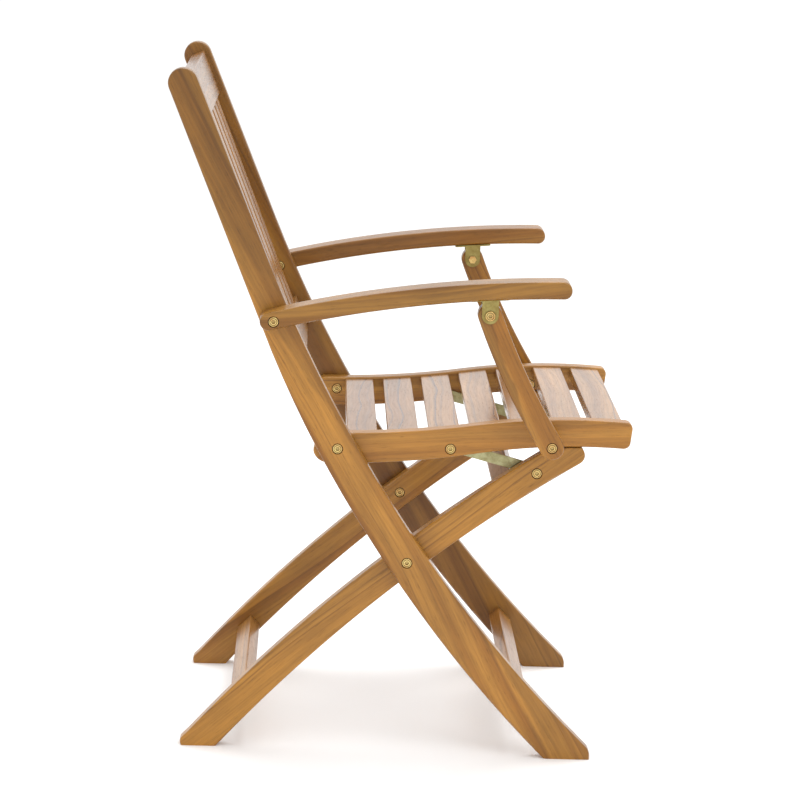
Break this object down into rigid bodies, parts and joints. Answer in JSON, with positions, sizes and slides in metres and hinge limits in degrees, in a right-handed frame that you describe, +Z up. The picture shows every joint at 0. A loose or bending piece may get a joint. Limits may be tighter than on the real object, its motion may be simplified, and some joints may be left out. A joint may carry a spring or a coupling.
{
  "type": "folding garden armchair",
  "caption": "Folding slatted teak armchair: crossed curved side boards, bent arms on swinging posts, seat that folds up with its links and rear legs.",
  "frame": {"origin": "on the ground, under the middle of the chair's overall box", "axes": "+X to the chair's front, +Y to the sitter's left, +Z up"},
  "size_m": [0.6071, 0.553, 0.89],
  "materials": {
    "stile_teak": "oiled teak, golden brown, straight grain",
    "leg_teak": "oiled teak, orange brown, straight grain",
    "seat_teak": "oiled teak, straight grain",
    "back_teak": "oiled teak, straight grain",
    "arm_teak": "oiled teak, smooth rounded edges",
    "crossbar_teak": "oiled teak, straight grain",
    "zinc_hardware": "yellow passivated zinc plate",
    "zinc_plate": "yellow passivated zinc plate, pressed"
  },
  "bodies": {
    "back_frame": {"crest_rail": "back_teak", "lower_back_rail": "back_teak", "front_stretcher": "crossbar_teak", "back_stile_right": "stile_teak", "back_stile_left": "stile_teak", "leg_pivot_bolts": "zinc_hardware", "seat_pivot_bolts": "zinc_hardware", "arm_pivot_bolts": "zinc_hardware", "stile_sleeve_nuts": "zinc_hardware", "stile_washers": "zinc_hardware", "back_slat_1": "back_teak", "back_slat_2": "back_teak", "back_slat_3": "back_teak", "back_slat_4": "back_teak", "back_slat_5": "back_teak", "back_slat_6": "back_teak"},
    "seat": {"seat_rail_right": "seat_teak", "seat_rail_left": "seat_teak", "post_bolts": "zinc_hardware", "seat_sleeve_nuts": "zinc_hardware", "post_spacers": "zinc_hardware", "link_seat_bolts": "zinc_hardware", "seat_slat_1": "seat_teak", "seat_slat_2": "seat_teak", "seat_slat_3": "seat_teak", "seat_slat_4": "seat_teak", "seat_slat_5": "seat_teak", "seat_slat_6": "seat_teak", "seat_slat_7": "seat_teak"},
    "leg_frame": {"rear_leg_right": "leg_teak", "rear_leg_left": "leg_teak", "rear_stretcher": "crossbar_teak", "leg_cross_rail": "crossbar_teak", "link_leg_bolts": "zinc_hardware"},
    "link_right": {"link_bar_right": "zinc_plate", "link_leg_nut_right": "zinc_hardware"},
    "arm_right": {"armrest_right": "arm_teak", "arm_bracket_right": "zinc_plate", "bracket_bolt_right": "zinc_hardware", "bracket_nut_right": "zinc_hardware", "bracket_screws_right": "zinc_hardware"},
    "post_right": {"arm_post_right": "arm_teak"},
    "link_left": {"link_bar_left": "zinc_plate", "link_leg_nut_left": "zinc_hardware"},
    "arm_left": {"armrest_left": "arm_teak", "arm_bracket_left": "zinc_plate", "bracket_bolt_left": "zinc_hardware", "bracket_nut_left": "zinc_hardware", "bracket_screws_left": "zinc_hardware"},
    "post_left": {"arm_post_left": "arm_teak"}
  },
  "joints": [
    {"name": "seat_fold", "type": "hinge", "parent": "back_frame", "child": "seat", "pos_m": [-0.078, 0, 0.4075], "axis": [0, -1, 0], "range_deg": [0, 100]},
    {"name": "leg_fold", "type": "hinge", "parent": "back_frame", "child": "leg_frame", "pos_m": [0.0158, 0, 0.2589], "axis": [0, -1, 0], "range_deg": [0, 69.26]},
    {"name": "link_right_swing", "type": "hinge", "parent": "seat", "child": "link_right", "pos_m": [0.0682, 0, 0.4062], "axis": [0, -1, 0], "range_deg": [-140.7, 0]},
    {"name": "arm_right_swing", "type": "hinge", "parent": "back_frame", "child": "arm_right", "pos_m": [-0.1635, 0, 0.5772], "axis": [0, -1, 0], "range_deg": [0, 100]},
    {"name": "post_right_swing", "type": "hinge", "parent": "seat", "child": "post_right", "pos_m": [0.196, 0, 0.4205], "axis": [0, -1, 0], "range_deg": [-100, 0]},
    {"name": "link_left_swing", "type": "hinge", "parent": "seat", "child": "link_left", "pos_m": [0.0682, 0, 0.4062], "axis": [0, -1, 0], "range_deg": [-140.7, 0]},
    {"name": "arm_left_swing", "type": "hinge", "parent": "back_frame", "child": "arm_left", "pos_m": [-0.1635, 0, 0.5772], "axis": [0, -1, 0], "range_deg": [0, 100]},
    {"name": "post_left_swing", "type": "hinge", "parent": "seat", "child": "post_left", "pos_m": [0.196, 0, 0.4205], "axis": [0, -1, 0], "range_deg": [-100, 0]}
  ],
  "couplings": [
    {"joint": "leg_fold", "follows": "seat_fold", "ratio": 0.6924},
    {"joint": "link_right_swing", "follows": "seat_fold", "ratio": -1.4068},
    {"joint": "arm_right_swing", "follows": "seat_fold", "ratio": 1},
    {"joint": "post_right_swing", "follows": "seat_fold", "ratio": -1},
    {"joint": "link_left_swing", "follows": "seat_fold", "ratio": -1.4068},
    {"joint": "arm_left_swing", "follows": "seat_fold", "ratio": 1},
    {"joint": "post_left_swing", "follows": "seat_fold", "ratio": -1}
  ]
}
